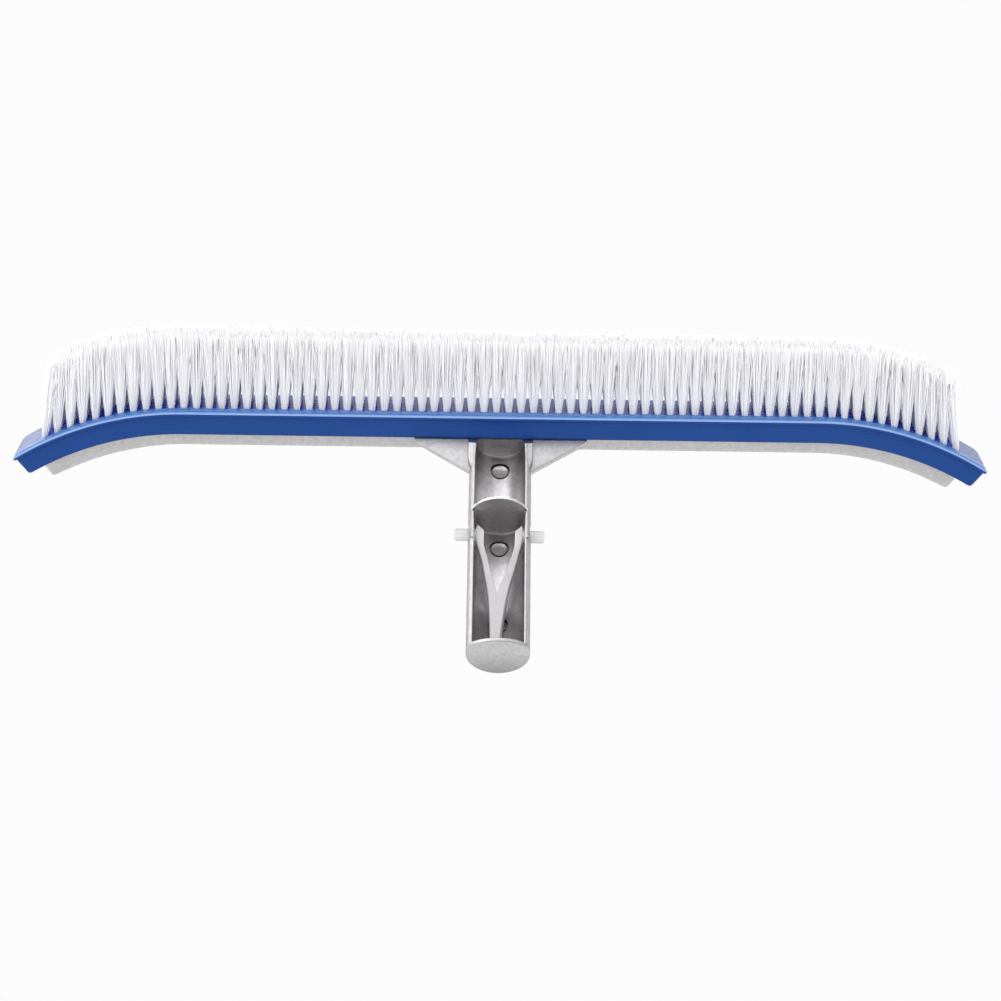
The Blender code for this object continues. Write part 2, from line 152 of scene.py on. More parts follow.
PINCH, PINCH_LENGTH = 0.7 * MM, 14 * MM         # the trough narrows before the head
GUSSET_REACH = 40.5 * MM            # to each side of the axis
GUSSET_ROOT = 11.0 * MM
GUSSET_DROP = 21.0 * MM             # its edge falls this far, from its tip to its root
GUSSET_TIP = HANDLE_LENGTH - 0.6 * MM
GUSSET_PAST = 7 * MM                # it runs on under the bar
EJECTOR_UP = (24.6 * MM, 68.4 * MM, 114.3 * MM)
SCREWS = 6
CLIP_LEAN = math.radians(-1.4)
CLIP_FRAME = (HANDLE_FRAME @ Matrix.Translation((0, BUTTON_UP, 0))
              @ Matrix.Rotation(CLIP_LEAN, 4, "Z") @ Matrix.Translation((0, -BUTTON_UP, 0)))


# ---- mesh helpers ----
def smooth(mesh, angle):
    """Smooth shading, with the edges past this angle, in degrees, kept sharp."""
    mesh.shade_smooth()
    mesh.set_sharp_from_angle(angle=math.radians(angle))


def object_of(name, mesh, shade_angle=35.0):
    """An object of the mesh, shaded smooth and in the scene."""
    made = bpy.data.objects.new(name, mesh)
    bpy.context.scene.collection.objects.link(made)
    smooth(mesh, shade_angle)
    return made


def cube_mesh(name, matrix):
    """A unit cube, moved and stretched by the matrix."""
    form = bmesh.new()
    bmesh.ops.create_cube(form, size=1.0, matrix=matrix)
    mesh = bpy.data.meshes.new(name)
    form.to_mesh(mesh)
    form.free()
    return mesh


def mesh_of(name, verts, faces):
    """A closed mesh of these faces: doubles welded, normals out."""
    mesh = bpy.data.meshes.new(name)
    mesh.from_pydata([tuple(v) for v in verts], [], faces)
    form = bmesh.new()
    form.from_mesh(mesh)
    bmesh.ops.remove_doubles(form, verts=form.verts, dist=WELD)
    bmesh.ops.dissolve_degenerate(form, edges=form.edges, dist=WELD)
    bmesh.ops.recalc_face_normals(form, faces=form.faces)
    form.to_mesh(mesh)
    form.free()
    return mesh


def side_faces(rings, count):
    """Quads between closed rings of points that are numbered one ring after another."""
    return [(a * count + i, a * count + (i + 1) % count,
             (a + 1) * count + (i + 1) % count, (a + 1) * count + i)
            for a in range(rings - 1) for i in range(count)]


def cap_faces(rings, count):
    """The face that closes the first ring, and the one that closes the last."""
    return [tuple(reversed(range(count))), tuple(range((rings - 1) * count, rings * count))]


def loft(name, rings):
    """Faces between closed rings with one number of points, and a cap at each end."""
    count = len(rings[0])
    verts = [point for ring in rings for point in ring]
    return mesh_of(name, verts, side_faces(len(rings), count) + cap_faces(len(rings), count))


def cut(target, mesh, operation="DIFFERENCE"):
    """A Boolean with the mesh, applied at once."""
    tool = bpy.data.objects.new("tool", mesh)
    bpy.context.scene.collection.objects.link(tool)
    step = target.modifiers.new("cut", "BOOLEAN")
    step.operation = operation
    step.object = tool
    step.solver = "EXACT"
    graph = bpy.context.evaluated_depsgraph_get()
    result = bpy.data.meshes.new_from_object(target.evaluated_get(graph))
    target.modifiers.clear()
    old = target.data
    target.data = result
    bpy.data.meshes.remove(old)
    bpy.data.objects.remove(tool, do_unlink=True)


def arc(centre, radius, start, end, steps):
    """Points on an arc in a plane, start and end in degrees."""
    turn = [math.radians(start + (end - start) * i / steps) for i in range(steps + 1)]
    return [(centre[0] + radius * math.cos(a), centre[1] + radius * math.sin(a)) for a in turn]


def rounded(corners, radii):
    """The outline with each corner rounded by its own radius."""
    points = []
    steps = 4
    count = len(corners)
    for i, (corner, radius) in enumerate(zip(corners, radii)):
        here = Vector(corner)
        back = (Vector(corners[i - 1]) - here).normalized()
        on = (Vector(corners[(i + 1) % count]) - here).normalized()
        half = math.acos(max(-1.0, min(1.0, back.dot(on)))) / 2
        reach = radius / math.tan(half)
        centre = here + (back + on).normalized() * radius / math.sin(half)
        start = here + back * reach - centre
        turn = start.angle_signed(here + on * reach - centre)
        points += [tuple(centre + Matrix.Rotation(-turn * (k / steps), 2) @ start)
                   for k in range(steps + 1)]
    return points


def lathe(name, profile, sides, place):
    """A turned piece from (radius, height) points, first and last on the axis."""
    rings = [[place @ Vector((r * math.cos(2 * math.pi * k / sides),
                              r * math.sin(2 * math.pi * k / sides), h)) for k in range(sides)]
             for r, h in profile]
    return loft(name, rings)


# ---- the head's bend ----
def bend(s, y, h):
    """World point at length s along the head's top, across y, height h above its underside."""
    past = abs(s) - STRAIGHT_HALF
    if past <= 0:
        return HEAD + Vector((s, y, h))
    angle = past / TOP_RADIUS
    radius = BEND_RADIUS + h
    x = STRAIGHT_HALF + radius * math.sin(angle)
    return HEAD + Vector((math.copysign(x, s), y, radius * math.cos(angle) - BEND_RADIUS))


def top_height(x, h=BLOCK_HEIGHT):
    """Height above the underside's middle of the line at height h, at a place along X."""
    past = max(0.0, abs(x) - STRAIGHT_HALF)
    radius = BEND_RADIUS + h
    return math.sqrt(radius * radius - past * past) - BEND_RADIUS


def plan_ring(half_length, half_width, corner, columns, rows, corner_steps=5):
    """Points (s, y) round a rounded rectangle, from the front left."""
    s, y = half_length - corner, half_width - corner
    edge = [(-s + 2 * s * i / columns, -half_width) for i in range(1, columns)]
    right = [(half_length, -y + 2 * y * i / rows) for i in range(1, rows)]
    back = [(-a, -b) for a, b in edge]
    left = [(-a, -b) for a, b in right]
    return (arc((-s, -y), corner, 180, 270, corner_steps) + edge
            + arc((s, -y), corner, 270, 360, corner_steps) + right
            + arc((s, y), corner, 0, 90, corner_steps) + back
            + arc((-s, y), corner, 90, 180, corner_steps) + left)


def bent_body(name, half_length, half_width, profile, columns=150, rows=8):
    """A bar that follows the head's bend. The profile runs from the middle of the top,
    outwards, down and back in below: (inset along, inset across, corner, height)."""
    rings = []
    for along, across, corner, height in profile:
        ring = plan_ring(half_length - along, half_width - across, corner, columns, rows)
        rings.append([bend(s, y, height) for s, y in ring])
    verts = [point for ring in rings for point in ring]
    faces = side_faces(len(rings), len(rings[0]))
    for along, across, corner, height in (profile[0], profile[-1]):
        s_half = half_length - along - corner
        y_half = half_width - across - corner
        start = len(verts)
        verts += [bend(-s_half + 2 * s_half * i / columns, -y_half + 2 * y_half * j / rows, height)
                  for i in range(columns + 1) for j in range(rows + 1)]
        faces += [(start + i * (rows + 1) + j, start + (i + 1) * (rows + 1) + j,
                   start + (i + 1) * (rows + 1) + j + 1, start + i * (rows + 1) + j + 1)
                  for i in range(columns) for j in range(rows)]
    return mesh_of(name, verts, faces)


def column_x(column):
    """Place of a tuft along the head: an even spacing with a slight drift of the holes."""
    along = 2 * column / (COLUMNS - 1) - 1
    return along * TUFT_SPAN / 2 + (1 - along * along) * (TUFT_DRIFT - TUFT_SKEW * along)


def row_y(row):
    """Place of a row of tufts across the head."""
    return (row - (ROWS - 1) / 2) * ROW_PITCH


# ---- the block ----
def block_profile():
    """The block's moulded section: chamfered lip, drafted wall and the recess for the bar."""
    top = BLOCK_HEIGHT
    lip = [(5.0, 5.0, 0.0, top), (2.7, 2.7, 1.6, top), (2.35, 2.35, 1.7, top - 0.05 * MM),
           (0.75, 0.75, 2.4, top - 0.48 * MM), (0.38, 0.38, 2.6, top - 0.66 * MM),
           (0.12, 0.12, 2.8, top - 0.95 * MM), (0.0, 0.0, 2.9, top - 1.3 * MM),
           (0.0, 0.0, 2.9, top - 1.75 * MM), (0.15, 0.15, 2.8, top - 2.08 * MM),
           (0.45, 0.45, 2.6, top - 2.25 * MM), (0.8, 0.8, 2.4, top - 2.3 * MM)]
    wall = [(0.85, 1.55, 2.2, top - 2.3 * MM), (0.95, 1.85, 2.1, top - 2.4 * MM),
            (1.0, 2.0, 2.0, top - 2.7 * MM), (2.2, 2.08, 2.0, 1.5 * MM),
            (2.4, 2.2, 2.0, 0.75 * MM), (2.75, 2.45, 1.9, 0.25 * MM), (3.3, 2.8, 1.8, 0.0)]
    recess = [(7.3, 3.1, 1.0, 0.0), (7.4, 3.15, 1.0, 1.5 * MM), (9.0, 4.2, 0.0, 1.5 * MM)]
    return [(along * MM, across * MM, corner * MM, height)
            for along, across, corner, height in lip + wall + recess]


def make_block():
    """The block's moulding, with the blind holes of the tufts."""
    block = object_of("block_moulding", bent_body("block", PLAN_HALF, HALF_WIDTH, block_profile()))
    sides = 14
    verts, faces = [], []
    for column in range(COLUMNS):
        x = column_x(column)
        surface = top_height(x)
        for row in range(ROWS):
            start = len(verts)
            for h in (surface - HOLE_DEPTH, surface + HOLE_DEPTH):
                verts += [HEAD + Vector((x + dx, row_y(row) + dy, h))
                          for dx, dy in arc((0, 0), HOLE_RADIUS, 0, 360, sides)[:-1]]
            faces += [tuple(start + i for i in face)
                      for face in side_faces(2, sides) + cap_faces(2, sides)]
    cut(block, mesh_of("tuft_holes", verts, faces))
    smooth(block.data, 40)
    return block


# ---- the bristles ----
def end_lean(column):
    """Sideways lean of the tufts near the ends, which stand in a little."""
    left = 0.125 * math.exp(-column / 1.6)
    right = -0.095 * math.exp(-(COLUMNS - 1 - column) / 1.3)
    return left + right


def filament_row(row):
    """Every filament of one row of tufts, as one mesh."""
    rng = np.random.default_rng(40 + row)
    golden = math.pi * (3 - math.sqrt(5))
    starts, leans, curls, tips, outward = [], [], [], [], []
    for column in range(COLUMNS):
        x, y = column_x(column), row_y(row)
        surface = top_height(x)
        length = ((BRISTLE_LEFT + BRISTLE_RIGHT) / 2
                  + (BRISTLE_RIGHT - BRISTLE_LEFT) * x / (2 * HALF_LENGTH))
        tuft_lean = rng.normal(0, TUFT_LEAN, 2) + np.array([end_lean(column), 0.0])
        spin = rng.uniform(0, 2 * math.pi)
        for k in range(FILAMENTS):
            reach = TUFT_RADIUS * math.sqrt((k + 0.5) / FILAMENTS)
            angle = spin + k * golden
            px, py = reach * math.cos(angle), reach * math.sin(angle)
            starts.append((x + px, y + py, surface - ROOT_DEPTH))
            # the outermost tufts spread less towards the end of the head
            outer = (column == 0 and px < 0) or (column == COLUMNS - 1 and px > 0)
            outward.append((END_TUFT_SPREAD * px if outer else px, py))
            leans.append(tuft_lean + rng.normal(0, FILAMENT_LEAN, 2))
            curls.append(rng.normal(0, CURL, 2))
            tips.append(surface + length + rng.normal(0, TIP_JITTER) - TIP_CLEARANCE)
    starts, leans, curls = np.array(starts), np.array(leans), np.array(curls)
    tips, outward = np.array(tips), np.array(outward)
    count = len(starts)
    rings = np.empty((count, FILAMENT_RINGS, FILAMENT_SIDES, 3))
    turn = 2 * math.pi * np.arange(FILAMENT_SIDES) / FILAMENT_SIDES
    phase = rng.uniform(0, 2 * math.pi, count)
    for ring in range(FILAMENT_RINGS):
        share = ring / (FILAMENT_RINGS - 1)
        z = starts[:, 2] + (tips - starts[:, 2]) * share
        up = np.maximum(0.0, z - starts[:, 2] - ROOT_DEPTH)[:, None]
        spread = FLARE * (1 - np.exp(-up / FLARE_HEIGHT)) / TUFT_RADIUS
        centre = starts[:, :2] + outward * spread + leans * up + curls * up * up
        radius = FILAMENT_RADIUS * (TIP_TAPER if ring == FILAMENT_RINGS - 1 else 1.0)
        angle = phase[:, None] + turn[None, :]
        rings[:, ring, :, 0] = centre[:, 0:1] + radius * np.cos(angle)
        rings[:, ring, :, 1] = centre[:, 1:2] + radius * np.sin(angle)
        rings[:, ring, :, 2] = z[:, None]
    verts = rings.reshape(-1, 3) + np.array(HEAD)
    faces = side_faces(FILAMENT_RINGS, FILAMENT_SIDES) + cap_faces(FILAMENT_RINGS, FILAMENT_SIDES)
    mesh = repeated_mesh("filaments_%d" % (row + 1), verts, faces, count)
    return object_of("filament_row_%d" % (row + 1), mesh, 80)


def repeated_mesh(name, verts, faces, count):
    """One mesh of many pieces that share their faces, with the points one piece after another."""
    per = len(verts) // count
    corners = np.array([i for face in faces for i in face])
    sizes = np.tile([len(face) for face in faces], count)
    corners = (corners[None, :] + per * np.arange(count)[:, None]).ravel()
    mesh = bpy.data.meshes.new(name)
    mesh.vertices.add(len(verts))
    mesh.vertices.foreach_set("co", verts.astype(np.float32).ravel())
    mesh.loops.add(len(corners))
    mesh.loops.foreach_set("vertex_index", corners.astype(np.int32))
    mesh.polygons.add(len(sizes))
    mesh.polygons.foreach_set("loop_start",
                              np.concatenate([[0], np.cumsum(sizes)[:-1]]).astype(np.int32))
    mesh.update(calc_edges=True)
    return mesh


# ---- the casting ----
def at_handle(outline, up, inset=0.0):
    """The handle's section at a height up the handle, drawn in by an inset towards its axis."""
    ring = []
    for x, z in outline:
        reach = math.hypot(x, z)
        keep = (reach - inset) / reach
        ring.append(HANDLE_FRAME @ Vector((x * keep, up, z * keep)))
    return ring


def core_outline(crown):
    """Round handle below, and on top either the end wall's crown or the flat wall tops."""
    rise = math.degrees(math.asin(WALL_TOP / HANDLE_RADIUS)) - 2.0
    below = arc((0, 0), HANDLE_RADIUS, -180 - rise, rise, 64)
    if crown:
        half = math.degrees(math.asin(CROWN_HALF / CROWN_RADIUS))
        return below + arc((0.0, CROWN_TOP - CROWN_RADIUS), CROWN_RADIUS, 90 - half, 90 + half, 30)
    right = arc((WALL_EDGE - WALL_CORNER, WALL_TOP - WALL_CORNER), WALL_CORNER, 45, 90, 4)
    left = [(-x, z) for x, z in reversed(right)]
    inner = [(right[-1][0] - 2 * right[-1][0] * i / 22, WALL_TOP) for i in range(1, 22)]
    return below + right + inner + left


def trough_outline(inset):
    """Inside of the trough. Its top flares, so that the wall's inner edge comes out round."""
    radius = TROUGH_RADIUS - inset
    edge = 0.5 * MM
    flare = arc((radius + edge, WALL_TOP - edge), edge, 180, 90, 5)
    right = [(radius + edge, 20 * MM)] + list(reversed(flare))
    below = arc((0, 0), radius, 0, -180, 40)
    return right + below + [(-x, z) for x, z in reversed(right)]


def fillet(radius, steps=5):
    """(distance from the wall, height above the floor) along a fillet."""
    turns = [math.pi / 2 * i / steps for i in range(steps + 1)]
    return [(radius * (1 - math.cos(t)), radius * (1 - math.sin(t))) for t in turns]


def chamber(low, high, high_fillet=0.9 * MM, pinch=0.0):
    """The hollow between two cross walls, with filleted ends. A pinch narrows its high end."""
    places = [(low + drop, inset) for drop, inset in fillet(0.9 * MM)]
    if pinch:
        places.append((high - PINCH_LENGTH, 0.0))
    places += [(high - drop, inset + pinch) for drop, inset in reversed(fillet(high_fillet))]
    return loft("chamber", [at_handle(trough_outline(inset), up) for up, inset in places])


def handle_core():
    """The handle without its trough: the end wall's crown, then the flat wall tops."""
    crown, flat = core_outline(True), core_outline(False)
    bevel = 0.15 * MM
    edge = [(0.0, 0.4), (0.04, 0.24), (0.13, 0.11), (0.25, 0.03), (0.4, 0.0)]
    rings = [at_handle(crown, up * MM, inset * MM) for up, inset in edge]
    rings += [at_handle(crown, END_WALL - bevel), at_handle(crown, END_WALL, bevel)]
    rings.append(at_handle(flat, END_WALL + 0.02 * MM))
    rings += [at_handle(flat, (HANDLE_LENGTH + HANDLE_PAST) * i / 24) for i in range(1, 25)]
    return loft("core", rings)


def mid_wall():
    """Disc of the middle cross wall, with a nearly sharp rim."""
    wall = (arc((0, MID_WALL_CENTRE), MID_WALL_RADIUS, 15, 165, 60)
            + arc((0, 0), MID_WALL_RADIUS, 160, 380, 60))
    bevel = 0.15 * MM
    rim = [(MID_WALL_LOW, bevel), (MID_WALL_LOW + bevel, 0.0),
           (MID_WALL_HIGH - bevel, 0.0), (MID_WALL_HIGH, bevel)]
    return loft("mid_wall", [at_handle(wall, up, inset) for up, inset in rim])


def pad(side):
    """Raised wall top over a button's slot."""
    top = PAD_TOP / MM
    section = [(side * x * MM, z * MM) for x, z in
               ((11.0, 0.0), (13.6, 0.0), (13.2, top - 0.3), (12.8, top), (11.0, top))]
    return loft("pad", [at_handle(section, up) for up in (PAD_LOW, PAD_HIGH)])


def gusset(side):
    """Plate from the handle's side out to the bar, with rounded edges."""
    plate = [(GUSSET_REACH, GUSSET_TIP), (GUSSET_REACH, HANDLE_LENGTH + GUSSET_PAST),
             (GUSSET_ROOT, HANDLE_LENGTH + GUSSET_PAST), (GUSSET_ROOT, GUSSET_TIP - GUSSET_DROP)]
    inward = Vector((-0.52, 0.85))
    rings = []
    for height, inset in ((0.0, 0.5), (0.15, 0.15), (0.5, 0.0), (2.0, 0.0), (2.35, 0.15), (2.5, 0.5)):
        shift = inward * inset * MM
        rings.append([HANDLE_FRAME @ Vector((side * (x + shift.x), up + shift.y, height * MM))
                      for x, up in plate])
    return loft("gusset", rings)


def shoulder(side):
    """Fills the corner between the trough's wall and the gusset, flush with the wall's top."""
    section = [(side * x * MM, z * MM) for x, z in
               ((12.0, 0.5), (15.2, 0.5), (15.1, 5.7), (14.95, 6.05), (14.6, 6.2), (12.0, 6.2))]
    return loft("shoulder", [at_handle(section, HANDLE_LENGTH + up * MM, inset * MM) for up, inset in
                             ((-18.6, 1.6), (-15.5, 0.3), (-13.0, 0.0), (8.0, 0.0))])


def space_above():
    """Cutter for what would stand higher than the gap under the block."""
    size = (200 * MM, 300 * MM, 100 * MM)
    return cube_mesh("above", HEAD_FRAME @ Matrix.Translation((0, 0, size[2] / 2 - GAP))
                     @ Matrix.Diagonal((*size, 1.0)))


def bar():
    """The bar under the block, a little thicker round the bends."""
    profile = [(2.2, 2.2, 0.0, BAR_LET_IN), (0.25, 0.25, 1.5, BAR_LET_IN),
               (0.0, 0.0, 1.6, BAR_LET_IN - 0.25 * MM), (1.1, 0.0, 1.6, -BAR_BELOW + 1.2 * MM),
               (1.4, 0.12, 1.5, -BAR_BELOW + 0.6 * MM), (1.9, 0.42, 1.3, -BAR_BELOW + 0.16 * MM),
               (2.6, 0.8, 1.0, -BAR_BELOW), (4.5, 2.5, 0.0, -BAR_BELOW)]
    mesh = bent_body("bar", BAR_PLAN_HALF, BAR_HALF_WIDTH,
                     [(a * MM, b * MM, c * MM, h) for a, b, c, h in profile], columns=120, rows=6)
    for vertex in mesh.vertices:
        if vertex.co.z < HEAD.z and abs(vertex.co.x) > STRAIGHT_HALF:
            out = Vector((abs(vertex.co.x) - STRAIGHT_HALF, 0.0, vertex.co.z - HEAD.z + BEND_RADIUS))
            below = min(1.0, max(0.0, (BEND_RADIUS - out.length) / BAR_BELOW))
            share = min(1.0, math.atan2(out.x, out.z) / BAR_THICKER_BY)
            out *= -below * share * BAR_THICKER / out.length
            vertex.co += Vector((math.copysign(out.x, -vertex.co.x), 0.0, out.z))
    return mesh


def slot(side):
    """Cutter for a button's slot through the trough's wall."""
    outline = rounded([(SLOT_LOW, -SLOT_HALF), (SLOT_HIGH, -SLOT_HALF),
                       (SLOT_HIGH, SLOT_HALF), (SLOT_LOW, SLOT_HALF)], [SLOT_CORNER] * 4)
    return loft("slot", [[HANDLE_FRAME @ Vector((side * x * MM, up, z)) for up, z in outline]
                         for x in (9.5, 17.0)])


def ejector_mark(up):
    """Cutter for a round mark in the trough's floor: a shallow dish inside a groove."""
    profile = [(0.0, -0.45), (1.6, -0.42), (2.6, -0.32), (3.3, -0.12), (3.75, 0.12), (3.85, -1.1),
               (4.45, -1.1), (4.5, 1.6), (0.0, 1.6)]
    return lathe("ejector_mark", [(r * MM, h * MM) for r, h in profile], 48,
                 HANDLE_FRAME @ Matrix.Translation((0, up, -TROUGH_RADIUS)))


def make_casting():
    """Bar, handle, gussets and cross walls in one closed mesh."""
    casting = object_of("cast_back", handle_core())
    cut(casting, mid_wall(), "UNION")
    for shape in (pad, gusset, shoulder):
        for side in (1, -1):
            cut(casting, shape(side), "UNION")
    cut(casting, space_above())
    cut(casting, bar(), "UNION")
    step = 0.02 * MM
    cut(casting, chamber(END_WALL - step, MID_WALL_LOW + step))
    cut(casting, chamber(MID_WALL_HIGH - step, TROUGH_HEAD, 1.0 * MM, PINCH))
    for side in (1, -1):
        cut(casting, slot(side))
    for up in EJECTOR_UP:
        cut(casting, ejector_mark(up))
    smooth(casting.data, 32)
    return casting


# ---- the clip ----
def on_line(points, value):
    """Where the line through the points is, at a place along it."""
    return float(np.interp(value, [p[0] for p in points], [p[1] for p in points]))


# in millimetres: (height up the handle, reach from the clip's middle), left and right half
CLIP_OUTER = {-1: [(2.6, 2.1), (11.0, 2.35), (19.0, 2.8), (28.0, 3.45), (32.5, 4.0), (37.0, 4.75),
                   (41.5, 5.6), (46.0, 6.5), (51.0, 7.4), (56.0, 8.9), (60.6, 10.1), (63.2, 10.6),
                   (64.8, 10.7), (69.6, 10.7), (71.2, 10.2)],
              1: [(2.6, 2.1), (11.0, 2.4), (19.0, 3.2), (26.0, 3.85), (31.0, 4.5), (37.0, 5.5),
                  (41.5, 6.5), (46.0, 7.45), (51.0, 8.6), (56.0, 9.4), (60.6, 10.3), (63.2, 10.7),
                  (64.8, 10.8), (69.6, 10.8), (71.2, 10.3)]}
CLIP_INNER = {-1: [(2.6, 0.0), (32.6, 0.0), (33.6, 0.35), (37.2, 1.0), (41.0, 2.3), (46.0, 3.45),
                   (51.0, 4.6), (56.0, 5.9), (59.9, 6.9), (68.0, 7.1), (68.6, 7.45), (71.2, 9.95)],
              1: [(2.6, 0.0), (32.6, 0.0), (33.6, 0.4), (37.2, 1.25), (41.0, 2.75), (53.6, 5.96),
                  (58.8, 7.0), (59.9, 7.2), (68.0, 7.2), (68.6, 7.55), (71.2, 9.95)]}
# and (height up the handle, place out of it) of the lower edge
CLIP_BOTTOM = [(2.6, -10.0), (26.0, -10.0), (33.0, -8.6), (37.0, -5.2), (41.0, -3.4), (46.0, -3.1),
               (71.2, -3.1)]
CLIP_TOP = 3.0
CLIP_LOW, CLIP_HIGH = 2.6, 71.2
HALVES_OVERLAP = 0.03               # in the stem


def clip_ring(side, up, inset):
    """One rounded section of a clip half. Its inner corners stay sharp where the halves meet."""
    outer = on_line(CLIP_OUTER[side], up) - inset
    inner = on_line(CLIP_INNER[side], up)
    low, high = on_line(CLIP_BOTTOM, up) + inset, CLIP_TOP - inset
    soft = min(0.45, 0.4 * (outer - inner))
    joined = 0.01 if inner <= 0.0 else min(soft, inner * 0.6)
    inner = inner + inset if inner > 0.0 else -HALVES_OVERLAP
    corners = [(inner, low), (outer, low), (outer, high), (inner, high)]
    points = rounded(corners, [joined, soft, soft, joined])
    return [CLIP_FRAME @ Vector((side * x * MM, up * MM, z * MM)) for x, z in points]


def make_clip_half(name, side):
    """Half the stem and one arm with its button, as one moulding."""
    places = [(CLIP_LOW, 0.3), (CLIP_LOW + 0.15, 0.08)]
    places += [(3.0 + 0.5 * i, 0.0) for i in range(136)]
    places += [(CLIP_HIGH - 0.3, 0.0), (CLIP_HIGH - 0.1, 0.05), (CLIP_HIGH, 0.1)]
    half = object_of(name, loft(name, [clip_ring(side, up, inset) for up, inset in places]), 50)
    axis = (CLIP_FRAME @ Matrix.Translation((side * BUTTON_ROOT, BUTTON_UP, 0))
            @ Matrix.Rotation(side * math.pi / 2, 4, "Y"))
    profile = [(0.0, 0.0), (2.9, 0.0), (2.9, 11.3), (2.78, 11.8), (2.45, 12.15), (2.0, 12.33),
               (1.2, 12.4), (0.0, 12.4)]
    cut(half, lathe("button", [(r * MM, h * MM) for r, h in profile], 40, axis), "UNION")
    smooth(half.data, 50)
    return half


# ---- screws ----
def make_screw(number):
    """Pan-head screw with a cross recess, square to the bar."""
    low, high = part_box("screw_%d" % number)
    grid = 5 * MM                       # the CAD places them on this grid
    x = round((low.x + high.x) / 2 / grid) * grid
    past = max(0.0, abs(x) - STRAIGHT_HALF)
    turn = math.copysign(math.asin(past / BEND_RADIUS), x)
    place = (HEAD_FRAME @ Matrix.Translation((x, 0, top_height(x, 0.0)))
             @ Matrix.Rotation(turn, 4, "Y"))
    under = -BAR_BELOW / MM - 0.3
    profile = [(0.0, under + 0.8), (2.0, under + 0.8), (2.0, under), (3.6, under), (3.8, under - 0.25),
               (3.78, under - 0.9), (3.5, under - 1.5), (2.9, under - 2.0), (2.0, under - 2.3),
               (1.0, under - 2.4), (0.0, under - 2.4)]
    screw = object_of("screw_head_%d" % number,
                      lathe("screw", [(r * MM, h * MM) for r, h in profile], 40, place), 50)
    for quarter in (0, 1):
        cut(screw, cube_mesh("slot", place @ Matrix.Translation((0, 0, (under - 2.2) * MM))
                             @ Matrix.Rotation(math.radians(20 + 90 * quarter), 4, "Z")
                             @ Matrix.Diagonal((4.2 * MM, 0.85 * MM, 2.4 * MM, 1.0))))
    smooth(screw.data, 40)
    return screw


# ---- materials ----
class Nodes:
    """A small helper around one material's node tree."""

    def __init__(self, name, color, roughness, metallic=0.0):
        self.material = bpy.data.materials.new(name)
        self.material.use_nodes = True
        self.tree = self.material.node_tree
        self.shader = self.tree.nodes["Principled BSDF"]
        self.set("Base Color", (*color, 1.0))
        self.set("Roughness", roughness)
        self.set("Metallic", metallic)
        self.place = self.add("ShaderNodeTexCoord").outputs["Object"]

    def set(self, socket, value):
        self.shader.inputs[socket].default_value = value

    def add(self, kind, **values):
        node = self.tree.nodes.new(kind)
        for key, value in values.items():
            setattr(node, key, value)
        return node

    def link(self, output, socket):
        self.tree.links.new(output, socket)

    def stretched(self, scale, rotation=(0.0, 0.0, 0.0)):
        node = self.add("ShaderNodeMapping")
        node.inputs["Rotation"].default_value = rotation
        node.inputs["Scale"].default_value = scale
        self.link(self.place, node.inputs["Vector"])
        return node.outputs["Vector"]

    def along_handle(self, scale=(1.0, 1.0, 1.0)):
        """Coordinates with Y up the handle and Z out of it."""
        return self.stretched(scale, (-TILT, 0.0, 0.0))

    def noise(self, vector, scale, detail=3.0, roughness=0.5):
        node = self.add("ShaderNodeTexNoise")
        node.inputs["Scale"].default_value = scale
        node.inputs["Detail"].default_value = detail
        node.inputs["Roughness"].default_value = roughness
        self.link(vector, node.inputs["Vector"])
        return node.outputs["Fac"]

    def ranged(self, value, low, high, from_low=0.3, from_high=0.7):
        node = self.add("ShaderNodeMapRange")
        node.inputs["From Min"].default_value = from_low
        node.inputs["From Max"].default_value = from_high
        node.inputs["To Min"].default_value = low
        node.inputs["To Max"].default_value = high
        self.link(value, node.inputs["Value"])
        return node.outputs["Result"]

    def rising(self, value, start, full):
        """A mask: 0 up to the start, 1 from the second value on."""
        return self.ranged(value, 0.0, 1.0, start, full)

    def falling(self, value, full, end):
        """A mask: 1 up to the first value, 0 from the end on."""
        return self.ranged(value, 1.0, 0.0, full, end)

    def window(self, value, start, full, hold, end):
        """A mask that rises from the start to the second value and falls from the third on."""
        return self.product(self.rising(value, start, full), self.falling(value, hold, end))

    def mixed(self, factor, first, second):
        """A colour between two, each a plain one or another node's output."""
        node = self.add("ShaderNodeMix", data_type="RGBA")
        for color, socket in ((first, node.inputs["A"]), (second, node.inputs["B"])):
            if isinstance(color, bpy.types.NodeSocket):
                self.link(color, socket)
            else:
                socket.default_value = (*color, 1.0)
        self.link(factor, node.inputs["Factor"])
        return node.outputs["Result"]

    def blended(self, factor, first, second):
        """A number between another node's output and a plain value."""
        node = self.add("ShaderNodeMix", data_type="FLOAT")
        self.link(first, node.inputs["A"])
        node.inputs["B"].default_value = second
        self.link(factor, node.inputs["Factor"])
        return node.outputs["Result"]

    def maths(self, operation, first, second):
        node = self.add("ShaderNodeMath", operation=operation)
        for value, socket in zip((first, second), node.inputs):
            if isinstance(value, bpy.types.NodeSocket):
                self.link(value, socket)
            else:
                socket.default_value = value
        return node.outputs["Value"]

    def product(self, first, *others):
        for other in others:
            first = self.maths("MULTIPLY", first, other)
        return first

    def size_of(self, value):
        return self.maths("ABSOLUTE", value, 0.0)

    def split(self, vector):
        node = self.add("ShaderNodeSeparateXYZ")
        self.link(vector, node.inputs["Vector"])
        return node.outputs["X"], node.outputs["Y"], node.outputs["Z"]

    def bump(self, height, distance, strength=1.0, below=None):
        node = self.add("ShaderNodeBump")
        node.inputs["Strength"].default_value = strength
        node.inputs["Distance"].default_value = distance
        self.link(height, node.inputs["Height"])
        if below is not None:
            self.link(below, node.inputs["Normal"])
        return node.outputs["Normal"]


